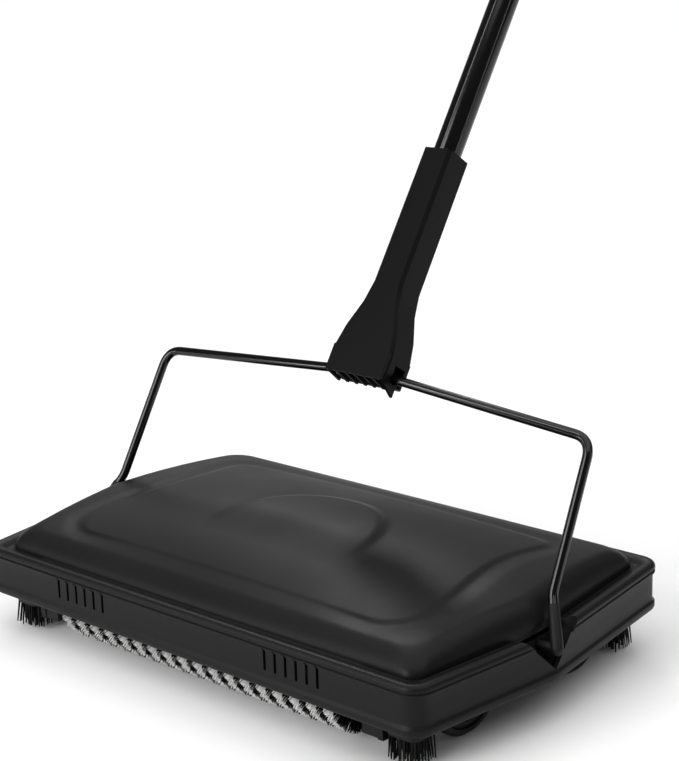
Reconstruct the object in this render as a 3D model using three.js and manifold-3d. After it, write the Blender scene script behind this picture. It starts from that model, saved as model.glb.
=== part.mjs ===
// A push-along carpet sweeper with two bristle rollers, four wheels, two dust pans and a bail handle.
// Millimetres, +Z up, front towards -Y. The floor is z = 0 and x = 0 is the middle of the sweeper.
import * as THREE from 'three';
import { mergeVertices } from 'three/addons/utils/BufferGeometryUtils.js';
import Module from 'manifold-3d';

const wasm = await Module();
wasm.setup();

// ---------------------------------------------------------------- driving dimensions

const FIT = 0.3; // gap that touching pieces keep
const WALL = 2.2;
const RUNNING_FIT = 0.35; // gap round a pin that turns in plastic
const both = [-1, 1];

// the head, seen from above: a long six-sided plan whose sides bow out to the bail pivots
const HEAD_Y = -223.584; // places the middle of the whole sweeper's depth at y = 0
const HALF_WIDTH = 145;
const HALF_WIDTH_ENDS = 134.4;
const HALF_DEPTH = 90;
const CORNER_RADIUS = 10;
const DOME_CORNER = 8;
const CORNER_STEPS = 3;
const SKIRT_BOTTOM = 19;
const RIM_TOP = 41.6;
const LEDGE_TOP = 39.2;
const LEDGE_WIDTH = 9.2;
const DOME_APEX = 60.15;
const CROWN_Y = 5.4;
const CROWN_SIDE = 4.6; // fall of the crown 100 mm out from the middle
const CROWN_FRONT = 13;
const CROWN_REAR = 10.5;
const WAIST = 1.1; // how far the cover's side is drawn in between its lower and upper lips
const SLOT_COUNT = 6;
const SLOT_FIRST = 51;
const SLOT_PITCH = 6;
const SLOT_HALF = 0.75;
const SLOT_BOTTOM = 27;
const SLOT_TOP = 37.2;

// the bail's pivots, and the V notches that they sit in
const PIVOT_Y = -8;
const PIVOT_Z = 33.4;
const NOTCH_APEX = 24;
const NOTCH_HALF_ANGLE = THREE.MathUtils.degToRad(46);
const NOTCH_PLANE = 135;
const PIN_RADIUS = 2.4;
const PIN_END = 127;

// running gear
const WHEEL_RADIUS = 23;
const WHEEL_INNER = 108.6;
const WHEEL_OUTER = 122.4;
const WHEEL_Y = 39.4;
const AXLE_RADIUS = 2.5;
const ROLLER_RADIUS = 19.5;
const ROLLER_Y = 65.8;
const ROLLER_Z = 20.1;
const ROLLER_HALF_LENGTH = 92;
const SHAFT_RADIUS = 2;
const ROLLER_DRUM = 7.8;
const DRUM_INNER = 97;
const DRUM_OUTER = 103.8;
const WHEEL_DRUM = Math.hypot(ROLLER_Y - WHEEL_Y, WHEEL_RADIUS - ROLLER_Z) - ROLLER_DRUM - FIT;

// chassis and dust pans
const PLATE_INNER = 104.5;
const PLATE_OUTER = 107.5;
const PAN_WALL_INNER = 94;
const PAN_WALL_OUTER = 96;
const CHASSIS_TOP = 44;
const HINGE_Y = 5;
const HINGE_Z = 10;
const HINGE_PIN = 1.5;
const DOOR_HALF_WIDTH = 93.4;
const DOOR_DEPTH = 45;
const DOOR_BOTTOM = 8;
const DOOR_THICK = 1.8;
const SCREW_X = 100.2;
const SCREW_Y = 9;
const SCREW_RADIUS = 1.5;
const SCREW_HOLE = 1.9;
const SCREW_BOSS = 4;
const BOSS_TOP = 54.2;
const HINGE_BLOCK_TOP = 13;

// the meshing sectors that make the two dust pans open together
const SECTOR_FROM = -92;
const SECTOR_TO = -86;
const SECTOR_TEETH = 10;
const SECTOR_ROOT = 3.9;
const SECTOR_FLANK = 5;
const SECTOR_TIP = 5.8;

// corner brushes
const BRUSH_X = 117.4;
const BRUSH_Y = 73;
const BRUSH_WIDTH = 15;
const BRUSH_DEPTH = 13.5;
const BRUSH_TOP = 12;
const HOLDER_TOP = 24;
const HOLDER_PEG = 2.5;
const ARM_TOP = 28;

// bail, socket and pole
const BAIL_LEAN = THREE.MathUtils.degToRad(29);
const POLE_LEAN = THREE.MathUtils.degToRad(34);
const WIRE_RADIUS = 2.25;
const BAIL_HEIGHT = 90.6;
const BAIL_PEAK = 9.6;
const BAIL_TOP_X = 131.4;
const FOOT_TOP = new THREE.Vector3(136.4, 0, 17.6);
const FOOT_TIP = new THREE.Vector3(144.2, 0, 0);
const FOOT_RADIUS = 2.95;
const SOCKET_TOP = 114;
const SOCKET_WIDTH = 36.4;
const SOCKET_NECK = 17;
const SOCKET_DEPTH = 17.4;
const RIB_COUNT = 7;
const RIB_HALF = 0.8;
const RIB_TIP = -6.4;
const RIB_LIP = -9.6; // the last rib reaches further down, as a hook round the wire
const POLE_RADIUS = 7;
const POLE_WALL = 0.6;
const POLE_START = 60;
const POLE_LENGTH = 275;
const THREAD_LENGTH = 10;
const POLE_PITCH = POLE_LENGTH - THREAD_LENGTH;
const INSERT_LENGTH = 14;
const THREAD_RADIUS = 5;
const NECK_LENGTH = 17;
const GRIP_LENGTH = 118;
const GRIP_SWELLS = 5;
const SWELL_PITCH = 20;
const LOOP_RISE = 18;
const LOOP_RADIUS = 10.6;
const LOOP_HOLE = 6.6;
const LOOP_THICK = 6;
const LOOP_FOOT = 8.6;

// ---------------------------------------------------------------- materials

const finish = (color, roughness, metalness = 0) =>
  new THREE.MeshStandardMaterial({ color, roughness, metalness });
const shellPlastic = finish(0x2b2b2c, 0.45);
const framePlastic = finish(0x1d1d1e, 0.55);
const tyreRubber = finish(0x161616, 0.85);
const blackEnamel = finish(0x0c0c0d, 0.18, 0.4);
const steel = finish(0x8c8f93, 0.35, 0.9);
const blackBristle = finish(0x111111, 0.7);
const mixedBristle = finish(0x6f6f6f, 0.7);
const gripPlastic = finish(0x202021, 0.6);

// ---------------------------------------------------------------- solids

// keeps only the positions, merges them and turns the faces outwards
function closed(geometry) {
  geometry.deleteAttribute('normal');
  geometry.deleteAttribute('uv');
  const merged = mergeVertices(geometry, 1e-4);
  const at = merged.attributes.position;
  const index = merged.index.array;
  const [a, b, c] = [0, 1, 2].map(() => new THREE.Vector3());
  let volume = 0;
  for (let i = 0; i < index.length; i += 3) {
    a.fromBufferAttribute(at, index[i]);
    b.fromBufferAttribute(at, index[i + 1]);
    c.fromBufferAttribute(at, index[i + 2]);
    volume += a.dot(b.cross(c));
  }
  if (volume < 0) {
    for (let i = 0; i < index.length; i += 3) {
      [index[i], index[i + 1]] = [index[i + 1], index[i]];
    }
  }
  return merged;
}

function solid(geometry) {
  const merged = closed(geometry);
  return new wasm.Manifold(new wasm.Mesh({
    numProp: 3,
    vertProperties: new Float32Array(merged.attributes.position.array),
    triVerts: new Uint32Array(merged.index.array),
  }));
}

function geometryOf(manifold) {
  const { vertProperties, triVerts } = manifold.getMesh();
  const geometry = new THREE.BufferGeometry();
  geometry.setAttribute('position', new THREE.BufferAttribute(vertProperties, 3));
  geometry.setIndex(new THREE.BufferAttribute(triVerts, 1));
  return geometry;
}

function piece(name, shape, material) {
  const geometry = shape instanceof THREE.BufferGeometry ? closed(shape) : geometryOf(shape);
  geometry.computeVertexNormals();
  const mesh = new THREE.Mesh(geometry, material);
  mesh.name = name;
  return mesh;
}

// a box given by its lowest and highest corners
function box(x0, y0, z0, x1, y1, z1) {
  const geometry = new THREE.BoxGeometry(x1 - x0, y1 - y0, z1 - z0);
  return geometry.translate((x0 + x1) / 2, (y0 + y1) / 2, (z0 + z1) / 2);
}

// a profile of [radius, height] points turned about Z
function turned(profile, segments) {
  const geometry = new THREE.LatheGeometry(profile.map(([r, h]) => new THREE.Vector2(r, h)), segments);
  return geometry.rotateX(Math.PI / 2);
}

// the same about X, with heights along +X
const turnedX = (profile, segments) => turned(profile, segments).rotateY(Math.PI / 2);

const rodProfile = (radius, from, to) => [[0, from], [radius, from], [radius, to], [0, to]];
const ringProfile = (inner, outer, from, to) =>
  [[inner, from], [outer, from], [outer, to], [inner, to], [inner, from]];

// a round rod between two points
function rod(radius, from, to, sides = 12) {
  const along = to.clone().sub(from);
  const geometry = new THREE.CylinderGeometry(radius, radius, along.length(), sides);
  const up = new THREE.Vector3(0, 1, 0);
  const turn = new THREE.Quaternion().setFromUnitVectors(up, along.clone().normalize());
  return geometry.applyQuaternion(turn).translate(...from.clone().add(to).multiplyScalar(0.5).toArray());
}

// an outline in the YZ plane, given as [y, z] points, extruded along X
function profileX(points, x0, x1) {
  const shape = new THREE.Shape(points.map(([y, z]) => new THREE.Vector2(y, z)));
  const geometry = new THREE.ExtrudeGeometry(shape, { depth: x1 - x0, bevelEnabled: false });
  const turn = new THREE.Matrix4().makeBasis(
    new THREE.Vector3(0, 1, 0), new THREE.Vector3(0, 0, 1), new THREE.Vector3(1, 0, 0));
  return geometry.applyMatrix4(turn).translate(x0, 0, 0);
}

// a closed skin over rings of equal length, with a fan over each end
function loft(rings) {
  const count = rings[0].length;
  const middle = (ring) => ring.reduce((sum, p) => sum.add(p), new THREE.Vector3()).divideScalar(count);
  const points = [...rings.flat(), middle(rings[0]), middle(rings[rings.length - 1])];
  const index = [];
  for (let i = 0; i < count; i += 1) {
    const next = (i + 1) % count;
    for (let r = 0; r < rings.length - 1; r += 1) {
      const low = r * count;
      const high = low + count;
      index.push(low + i, low + next, high + next, low + i, high + next, high + i);
    }
    const last = (rings.length - 1) * count;
    index.push(points.length - 2, next, i, points.length - 1, last + i, last + next);
  }
  const geometry = new THREE.BufferGeometry().setFromPoints(points);
  geometry.setIndex(index);
  return geometry;
}

// ---------------------------------------------------------------- the cover

// plan outline of the head pulled in by inset, as a ring of points at height z(x, y)
function planRing(inset, radius, z) {
  const corners = [
    [-HALF_WIDTH_ENDS, -HALF_DEPTH, true], [HALF_WIDTH_ENDS, -HALF_DEPTH, true],
    [HALF_WIDTH, PIVOT_Y, false], [HALF_WIDTH_ENDS, HALF_DEPTH, true],
    [-HALF_WIDTH_ENDS, HALF_DEPTH, true], [-HALF_WIDTH, PIVOT_Y, false],
  ].map(([x, y, round]) => ({ at: new THREE.Vector2(x, y), round }));
  const count = corners.length;
  const heading = (i) =>
    corners[(i + 1) % count].at.clone().sub(corners[i % count].at).normalize();
  const inward = (v) => new THREE.Vector2(-v.y, v.x);
  const loop = [];
  const stops = { long: 8, short: 3 };
  for (let i = 0; i < count; i += 1) {
    const before = heading(i + count - 1);
    const after = heading(i);
    const turn = Math.acos(THREE.MathUtils.clamp(before.dot(after), -1, 1));
    const mitre = inset * Math.tan(turn / 2);
    const tip = corners[i].at.clone().addScaledVector(inward(before), inset);
    tip.addScaledVector(before, -mitre);
    if (corners[i].round) {
      const reach = radius * Math.tan(turn / 2);
      const centre = tip.clone().addScaledVector(before, -reach).addScaledVector(inward(before), radius);
      for (let step = 0; step <= CORNER_STEPS; step += 1) {
        const angle = (turn * step) / CORNER_STEPS;
        const spoke = inward(before).multiplyScalar(-radius).rotateAround(new THREE.Vector2(), angle);
        loop.push(centre.clone().add(spoke));
      }
    } else {
      loop.push(tip);
    }
    loop.push({ stops: i % 3 === 0 ? stops.long : stops.short });
  }
  const ring = [];
  loop.forEach((item, i) => {
    if (item.stops === undefined) {
      ring.push(item);
      return;
    }
    const [from, to] = [loop[i - 1], loop[(i + 1) % loop.length]];
    for (let step = 1; step < item.stops; step += 1) {
      ring.push(from.clone().lerp(to, step / item.stops));
    }
  });
  return ring.map((p) => new THREE.Vector3(p.x, p.y, typeof z === 'function' ? z(p.x, p.y) : z));
}

// height of the dome's crowned top: it falls away gently to the sides and more to the front and back
function domeTop(x, y) {
  const side = CROWN_SIDE * (x / 100) ** 2;
  const run = y - CROWN_Y;
  const end = run < 0 ? CROWN_FRONT * (run / 82) ** 2 : CROWN_REAR * (run / 66) ** 1.8;
  return DOME_APEX - side - end * (1 - 0.67 * (x / 128) ** 2);
}

const shrunk = (ring, share, drop) =>
  ring.map((p) => new THREE.Vector3(p.x * share, p.y * share, domeTop(p.x * share, p.y * share) - drop));

// the dome's rings, from its foot at the given inset up its shoulder and over the top
function domeRings(inset, foot, drop) {
  const shoulder = [[1.2, 0.45], [3.2, 0.78], [6.2, 0.95]].map(([run, rise]) =>
    planRing(inset + run, DOME_CORNER + run / 2, (x, y) => foot + (domeTop(x, y) - drop - foot) * rise));
  const edge = planRing(inset + 10, DOME_CORNER + 5, (x, y) => domeTop(x, y) - drop);
  const crown = [0.78, 0.5, 0.2].map((share) => shrunk(edge, share, drop));
  return [planRing(inset, DOME_CORNER, foot), ...shoulder, edge, ...crown];
}

function coverOutside() {
  const skirt = [
    [1.6, SKIRT_BOTTOM], [0, SKIRT_BOTTOM + 1.6], [0, 22.8], [WAIST, 23.8], [WAIST, 36.2], [0.1, 37],
    [0.7, 38.3], [0, 39.6], [1.4, RIM_TOP], [5.2, 41], [LEDGE_WIDTH - 1, LEDGE_TOP],
  ].map(([inset, z]) => planRing(inset, Math.max(CORNER_RADIUS - inset, 6), z));
  return loft([...skirt, ...domeRings(LEDGE_WIDTH, LEDGE_TOP + 0.4, 0)]);
}

function coverInside() {
  const inset = WAIST + WALL;
  const skirt = [[inset, SKIRT_BOTTOM - 1], [inset, LEDGE_TOP - WALL]].map(([run, z]) =>
    planRing(run, CORNER_RADIUS - inset, z));
  return loft([...skirt, ...domeRings(LEDGE_WIDTH + WALL, LEDGE_TOP - WALL + 0.2, WALL)]);
}

// a V-shaped prism along X with its point down, widened all round by grow
function notchPrism(side, x0, x1, grow) {
  const apex = NOTCH_APEX - grow / Math.sin(NOTCH_HALF_ANGLE);
  const top = RIM_TOP + 3;
  const spread = (top - apex) * Math.tan(NOTCH_HALF_ANGLE);
  const points = [[PIVOT_Y, apex], [PIVOT_Y + spread, top], [PIVOT_Y - spread, top]];
  return solid(profileX(points, Math.min(side * x0, side * x1), Math.max(side * x0, side * x1)));
}

function topCover() {
  const outside = solid(coverOutside());
  let cover = outside.subtract(solid(coverInside()));
  for (const side of both) {
    cover = cover.add(notchPrism(side, NOTCH_PLANE - WALL, HALF_WIDTH + 2, 2).intersect(outside));
    cover = cover.subtract(notchPrism(side, NOTCH_PLANE, HALF_WIDTH + 2, 0));
    const around = [side * (NOTCH_PLANE - 5), side * (NOTCH_PLANE + 3)];
    const bore = turnedX(rodProfile(PIN_RADIUS + RUNNING_FIT, ...around), 16);
    cover = cover.subtract(solid(bore.translate(0, PIVOT_Y, PIVOT_Z)));
    for (const end of both) {
      const boss = turned(rodProfile(SCREW_BOSS, CHASSIS_TOP + FIT, BOSS_TOP), 16);
      const hole = turned(rodProfile(SCREW_HOLE, CHASSIS_TOP, BOSS_TOP - 1.6), 12);
      cover = cover.add(solid(boss.translate(side * SCREW_X, end * SCREW_Y, 0)));
      cover = cover.subtract(solid(hole.translate(side * SCREW_X, end * SCREW_Y, 0)));
    }
    for (let slot = 0; slot < SLOT_COUNT; slot += 1) {
      const x = side * (SLOT_FIRST + SLOT_PITCH * slot);
      const [near, far] = [-HALF_DEPTH - 1, -HALF_DEPTH + 8];
      const cut = box(x - SLOT_HALF, near, SLOT_BOTTOM, x + SLOT_HALF, far, SLOT_TOP);
      cover = cover.subtract(solid(cut));
    }
  }
  return piece('top_cover', cover, shellPlastic);
}

// ---------------------------------------------------------------- the chassis

function sidePlate(side) {
  const half = [
    [50, 12.5], [57, 7.5], [79, 7.5], [80, 20], [80, 33], [64, CHASSIS_TOP],
  ];
  const outline = [...half, ...half.map(([y, z]) => [-y, z]).reverse()];
  const [x0, x1] = side < 0 ? [-PLATE_OUTER, -PLATE_INNER] : [PLATE_INNER, PLATE_OUTER];
  let plate = solid(profileX(outline, x0, x1));
  for (const end of both) {
    const bores = [
      [AXLE_RADIUS + FIT, end * WHEEL_Y, WHEEL_RADIUS],
      [SHAFT_RADIUS + FIT, end * ROLLER_Y, ROLLER_Z],
    ];
    for (const [radius, y, z] of bores) {
      const bore = turnedX(rodProfile(radius, x0 - 1, x1 + 1), 16).translate(0, y, z);
      plate = plate.subtract(solid(bore));
    }
  }
  return plate;
}

// one end of the chassis beyond the dust pans: wall, bridge to the side plate, drum guards, brush arms
function chassisEnd(side) {
  const across = (x0, x1, y0, y1, z0, z1) => {
    const [low, high] = side < 0 ? [-x1, -x0] : [x0, x1];
    return solid(box(low, y0, z0, high, y1, z1));
  };
  let end = across(PAN_WALL_INNER, PAN_WALL_OUTER, -DOOR_DEPTH, DOOR_DEPTH, 12.2, CHASSIS_TOP);
  end = end.add(across(PAN_WALL_INNER + 0.1, PAN_WALL_OUTER - 0.1, -8.2, 8.2, 7, HINGE_BLOCK_TOP));
  end = end.add(across(PAN_WALL_INNER, PLATE_OUTER, -14, 14, CHASSIS_TOP - 4, CHASSIS_TOP));
  end = end.add(across(PAN_WALL_INNER, PLATE_INNER + 1, -1.2, 1.2, 15, CHASSIS_TOP));
  for (const way of both) {
    const [near, far] = way < 0 ? [-78.8, -76] : [76, 78.8];
    end = end.add(across(PAN_WALL_OUTER, PLATE_OUTER - 0.5, near, far, 8, 19));
    const [low, high] = [way * BRUSH_Y - BRUSH_DEPTH / 2 - 1, way * BRUSH_Y + BRUSH_DEPTH / 2];
    const reach = BRUSH_X + BRUSH_WIDTH / 2 + 1;
    const arm = across(PLATE_OUTER - 1, reach, low, high, HOLDER_TOP + FIT, ARM_TOP);
    const peg = turned(rodProfile(HOLDER_PEG + 0.4, HOLDER_TOP - 4, ARM_TOP + 2), 16);
    const screw = turned(rodProfile(SCREW_HOLE, CHASSIS_TOP - 14, CHASSIS_TOP + 6), 12);
    const pinHole = [side * (PAN_WALL_INNER - 4), side * (PLATE_OUTER + 2.5)];
    const pin = turnedX(rodProfile(HINGE_PIN + RUNNING_FIT, ...pinHole), 14);
    end = end.add(arm).subtract(solid(peg.translate(side * BRUSH_X, way * BRUSH_Y, 0)));
    end = end.subtract(solid(screw.translate(side * SCREW_X, way * SCREW_Y, 0)));
    end = end.subtract(solid(pin.translate(0, way * HINGE_Y, HINGE_Z)));
  }
  return end;
}

function chassis() {
  let frame = solid(box(-PAN_WALL_OUTER, -1.2, 7, PAN_WALL_OUTER, 1.2, CHASSIS_TOP));
  for (const side of both) {
    frame = frame.add(sidePlate(side)).add(chassisEnd(side));
    const [near, far] = side < 0 ? [-DOOR_DEPTH, -42] : [42, DOOR_DEPTH];
    frame = frame.add(solid(box(-PAN_WALL_OUTER, near, 41, PAN_WALL_OUTER, far, CHASSIS_TOP)));
  }
  const gearWindow = box(SECTOR_FROM - 0.6, -3, 6, SECTOR_TO + 0.6, 3, 17);
  return piece('chassis', frame.subtract(solid(gearWindow)), framePlastic);
}

function coverScrew(side, end) {
  const head = CHASSIS_TOP - 6.6;
  const profile = [
    [0, head], [3.2, head], [3.2, head + 2.2], [SCREW_RADIUS, head + 2.3],
    [SCREW_RADIUS, BOSS_TOP - 2.6], [0, BOSS_TOP - 2],
  ];
  const screw = piece(`cover_screw_${end < 0 ? 'front' : 'rear'}_${side < 0 ? 'left' : 'right'}`,
    turned(profile, 12), steel);
  screw.position.set(side * SCREW_X, end * SCREW_Y, 0);
  return screw;
}

// ---------------------------------------------------------------- corner brushes

// an upright prism with rounded corners
function slab(width, depth, radius, z0, z1) {
  const shape = new THREE.Shape();
  const [w, d] = [width / 2 - radius, depth / 2 - radius];
  shape.absarc(w, -d, radius, -Math.PI / 2, 0);
  shape.absarc(w, d, radius, 0, Math.PI / 2);
  shape.absarc(-w, d, radius, Math.PI / 2, Math.PI);
  shape.absarc(-w, -d, radius, Math.PI, Math.PI * 1.5);
  const settings = { depth: z1 - z0, bevelEnabled: false, curveSegments: 3 };
  return new THREE.ExtrudeGeometry(shape, settings).translate(0, 0, z0);
}

function cornerBrush(side, end) {
  const place = `${end < 0 ? 'front' : 'rear'}_${side < 0 ? 'left' : 'right'}`;
  const block = solid(slab(BRUSH_WIDTH + 1.6, BRUSH_DEPTH + 1.6, 4, BRUSH_TOP + FIT, HOLDER_TOP));
  const peg = solid(turned(rodProfile(HOLDER_PEG, HOLDER_TOP - 1, ARM_TOP - 0.4), 14));
  const holder = piece(`corner_brush_holder_${place}`, block.add(peg), framePlastic);
  const bristles = piece(`corner_brush_bristles_${place}`,
    slab(BRUSH_WIDTH, BRUSH_DEPTH, 4, 0.2, BRUSH_TOP), blackBristle);
  for (const mesh of [holder, bristles]) {
    mesh.position.set(side * BRUSH_X, end * BRUSH_Y, 0);
  }
  return [holder, bristles];
}

// ---------------------------------------------------------------- wheels

function wheel(side, end) {
  const place = `${end < 0 ? 'front' : 'rear'}_${side < 0 ? 'left' : 'right'}`;
  const group = new THREE.Group();
  const [inner, outer] = [WHEEL_INNER, WHEEL_OUTER];
  const rim = WHEEL_RADIUS - 3.4;
  const bore = AXLE_RADIUS + FIT;
  const hub = [
    [bore, inner], [rim, inner], [rim, outer - 1], [rim - 2.5, outer - 1], [rim - 2.5, outer - 4.5],
    [6, outer - 4.5], [6, outer - 1.6], [bore, outer - 1.6], [bore, inner],
  ];
  const tyre = [
    [rim + FIT, inner + 0.4], [WHEEL_RADIUS - 1, inner + 0.4], [WHEEL_RADIUS, inner + 1.6],
    [WHEEL_RADIUS, outer - 1.6], [WHEEL_RADIUS - 1, outer - 0.4], [rim + FIT, outer - 0.4],
    [rim + FIT, inner + 0.4],
  ];
  const axle = [
    [0, DRUM_INNER - 0.4], [AXLE_RADIUS, DRUM_INNER - 0.4], [AXLE_RADIUS, outer - 1.3],
    [4.2, outer - 1.3], [3.4, outer], [0, outer],
  ];
  const drum = ringProfile(bore, WHEEL_DRUM, DRUM_INNER, DRUM_OUTER);
  group.add(
    piece(`wheel_hub_${place}`, turnedX(hub, 20), framePlastic),
    piece(`wheel_tyre_${place}`, turnedX(tyre, 24), tyreRubber),
    piece(`wheel_axle_${place}`, turnedX(axle, 12), steel),
    piece(`wheel_drum_${place}`, turnedX(drum, 24), tyreRubber),
  );
  group.position.set(0, end * WHEEL_Y, WHEEL_RADIUS);
  group.rotation.z = side < 0 ? Math.PI : 0;
  return group;
}

// ---------------------------------------------------------------- rollers

function roller(end) {
  const place = end < 0 ? 'front' : 'rear';
  const group = new THREE.Group();
  const reach = ROLLER_HALF_LENGTH;
  const core = [
    [SHAFT_RADIUS + FIT, -reach - 2], [5, -reach - 2], [5, reach + 2],
    [SHAFT_RADIUS + FIT, reach + 2], [SHAFT_RADIUS + FIT, -reach - 2],
  ];
  const shaft = rodProfile(SHAFT_RADIUS, -PLATE_OUTER - 1.2, PLATE_OUTER + 1.2);
  group.add(
    piece(`roller_shaft_${place}`, turnedX(shaft, 14), steel),
    piece(`roller_core_${place}`, turnedX(core, 16), framePlastic),
    piece(`roller_bristles_${place}`,
      turnedX(ringProfile(5 + FIT, ROLLER_RADIUS, -reach, reach), 24), mixedBristle),
  );
  for (const side of both) {
    const drum = turnedX(ringProfile(SHAFT_RADIUS + FIT, ROLLER_DRUM, DRUM_INNER, DRUM_OUTER), 16);
    const mesh = piece(`roller_drum_${place}_${side < 0 ? 'left' : 'right'}`, drum, tyreRubber);
    mesh.rotation.z = side < 0 ? Math.PI : 0;
    group.add(mesh);
  }
  group.position.set(0, end * ROLLER_Y, ROLLER_Z);
  return group;
}

// ---------------------------------------------------------------- dust pans

// a small gear about (y, z), one tooth pointing at angle phase
function sectorGear(y, z, phase) {
  const pitch = (2 * Math.PI) / SECTOR_TEETH;
  const tooth = [
    [SECTOR_ROOT, -0.29], [SECTOR_FLANK, -0.2], [SECTOR_TIP, -0.1],
    [SECTOR_TIP, 0.1], [SECTOR_FLANK, 0.2], [SECTOR_ROOT, 0.29],
  ];
  const outline = [];
  for (let i = 0; i < SECTOR_TEETH; i += 1) {
    for (const [radius, share] of tooth) {
      const angle = phase + (i + share) * pitch;
      outline.push([y + radius * Math.cos(angle), z + radius * Math.sin(angle)]);
    }
  }
  return solid(profileX(outline, SECTOR_FROM, SECTOR_TO));
}

function panDoor(end) {
  const place = end < 0 ? 'front' : 'rear';
  const panel = [
    [HINGE_Y, DOOR_BOTTOM], [DOOR_DEPTH - 1.5, DOOR_BOTTOM], [DOOR_DEPTH, 13], [DOOR_DEPTH, 14.4],
    [DOOR_DEPTH - 1.6, 14.4], [DOOR_DEPTH - 2.6, DOOR_BOTTOM + DOOR_THICK],
    [HINGE_Y, DOOR_BOTTOM + DOOR_THICK],
  ].map(([y, z]) => [end * y, z]);
  const barrel = turnedX(rodProfile(3, -DOOR_HALF_WIDTH, DOOR_HALF_WIDTH), 16);
  const bore = turnedX(rodProfile(HINGE_PIN + RUNNING_FIT, -99, 99), 14);
  const phase = end < 0 ? 0 : Math.PI / SECTOR_TEETH + Math.PI;
  let door = solid(profileX(panel, -DOOR_HALF_WIDTH, DOOR_HALF_WIDTH));
  door = door.add(solid(barrel.translate(0, end * HINGE_Y, HINGE_Z)));
  door = door.add(sectorGear(end * HINGE_Y, HINGE_Z, phase));
  door = door.subtract(solid(bore.translate(0, end * HINGE_Y, HINGE_Z)));
  return piece(`pan_door_${place}`, door, framePlastic);
}

function hingePin(end) {
  const profile = rodProfile(HINGE_PIN, -DRUM_OUTER, PAN_WALL_OUTER + 2);
  const pin = piece(`pan_hinge_pin_${end < 0 ? 'front' : 'rear'}`, turnedX(profile, 12), steel);
  pin.position.set(0, end * HINGE_Y, HINGE_Z);
  return pin;
}

class Helix extends THREE.Curve {
  constructor(radius, turns, from, to) {
    super();
    Object.assign(this, { radius, turns, from, to });
  }

  getPoint(t, target = new THREE.Vector3()) {
    const angle = 2 * Math.PI * this.turns * t;
    const x = this.from + (this.to - this.from) * t;
    return target.set(x, this.radius * Math.cos(angle), this.radius * Math.sin(angle));
  }
}

function disc(radius, sides) {
  const shape = new THREE.Shape();
  for (let i = 0; i < sides; i += 1) {
    const angle = (2 * Math.PI * i) / sides;
    const [x, y] = [radius * Math.cos(angle), radius * Math.sin(angle)];
    if (i === 0) shape.moveTo(x, y);
    else shape.lineTo(x, y);
  }
  return shape;
}

function closingSpring(end) {
  const path = new Helix(2.5, 3.5, -PAN_WALL_OUTER - 1.2, -DRUM_OUTER + 1.2);
  const coil = new THREE.ExtrudeGeometry(disc(0.45, 4), { steps: 28, extrudePath: path });
  const spring = piece(`pan_spring_${end < 0 ? 'front' : 'rear'}`, coil, steel);
  spring.position.set(0, end * HINGE_Y, HINGE_Z);
  return spring;
}

// the thumb tab that opens both pans: it reaches out under the left-hand edge of the cover
function releaseTab() {
  const arm = solid(box(-139, -15.5, DOOR_BOTTOM, -DOOR_HALF_WIDTH - FIT, -9.5, 11));
  const pad = solid(box(-139, -16, DOOR_BOTTOM - 0.8, -125, 6, DOOR_BOTTOM + 2));
  return piece('pan_release_tab', arm.add(pad), framePlastic);
}

// ---------------------------------------------------------------- bail, socket and pole

// all in the bail's own plane: x across, z up along the legs, the pivots at z = 0
function bailPath() {
  const corner = (x, z) => new THREE.Vector3(x, 0, z);
  const into = FOOT_TOP.clone().lerp(FOOT_TIP, 0.55);
  const above = FOOT_TOP.clone().lerp(FOOT_TIP, -0.25);
  const stops = [into, above, corner(BAIL_TOP_X, BAIL_HEIGHT), corner(0, BAIL_HEIGHT + BAIL_PEAK)];
  const mirrored = stops.slice(0, -1).reverse().map((p) => corner(-p.x, p.z));
  const points = [...stops, ...mirrored];
  const bend = [0, 3, 9, 9, 9, 3, 0];
  const path = new THREE.CurvePath();
  let from = points[0];
  for (let i = 1; i < points.length - 1; i += 1) {
    const enter = points[i].clone().add(points[i - 1].clone().sub(points[i]).setLength(bend[i]));
    const leave = points[i].clone().add(points[i + 1].clone().sub(points[i]).setLength(bend[i]));
    path.add(new THREE.LineCurve3(from, enter));
    path.add(new THREE.QuadraticBezierCurve3(enter, points[i], leave));
    from = leave;
  }
  path.add(new THREE.LineCurve3(from, points[points.length - 1]));
  return path;
}

function bail() {
  const settings = { steps: 72, extrudePath: bailPath() };
  return piece('bail_wire', new THREE.ExtrudeGeometry(disc(WIRE_RADIUS, 8), settings), blackEnamel);
}

// a plastic foot on each end of the wire, with the pivot pin moulded on its inner side
function bailFoot(side) {
  const [top, tip] = [FOOT_TOP, FOOT_TIP].map((p) => new THREE.Vector3(side * p.x, 0, p.z));
  const pinEnd = new THREE.Vector3(side * PIN_END, 0, 0);
  const socketEnd = top.clone().lerp(tip, 0.62);
  const above = top.clone().add(top.clone().sub(tip).setLength(3));
  let foot = solid(rod(FOOT_RADIUS, top, tip));
  foot = foot.add(solid(new THREE.SphereGeometry(FOOT_RADIUS, 12, 7).translate(tip.x, 0, tip.z)));
  foot = foot.add(solid(rod(PIN_RADIUS, tip, pinEnd)));
  foot = foot.subtract(solid(rod(WIRE_RADIUS + FIT, above, socketEnd)));
  return piece(`bail_foot_${side < 0 ? 'left' : 'right'}`, foot, framePlastic);
}

// the socket's own axes: z along the pole from the wire, y towards the back
function socketRing(width, depth, z, chamfer) {
  const [w, d] = [width / 2, depth / 2];
  const points = [
    [w - chamfer, -d], [w, -d + chamfer], [w, d - chamfer], [w - chamfer, d],
    [-w + chamfer, d], [-w, d - chamfer], [-w, -d + chamfer], [-w + chamfer, -d],
  ];
  return points.map(([x, y]) => new THREE.Vector3(x, y, z));
}

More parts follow.
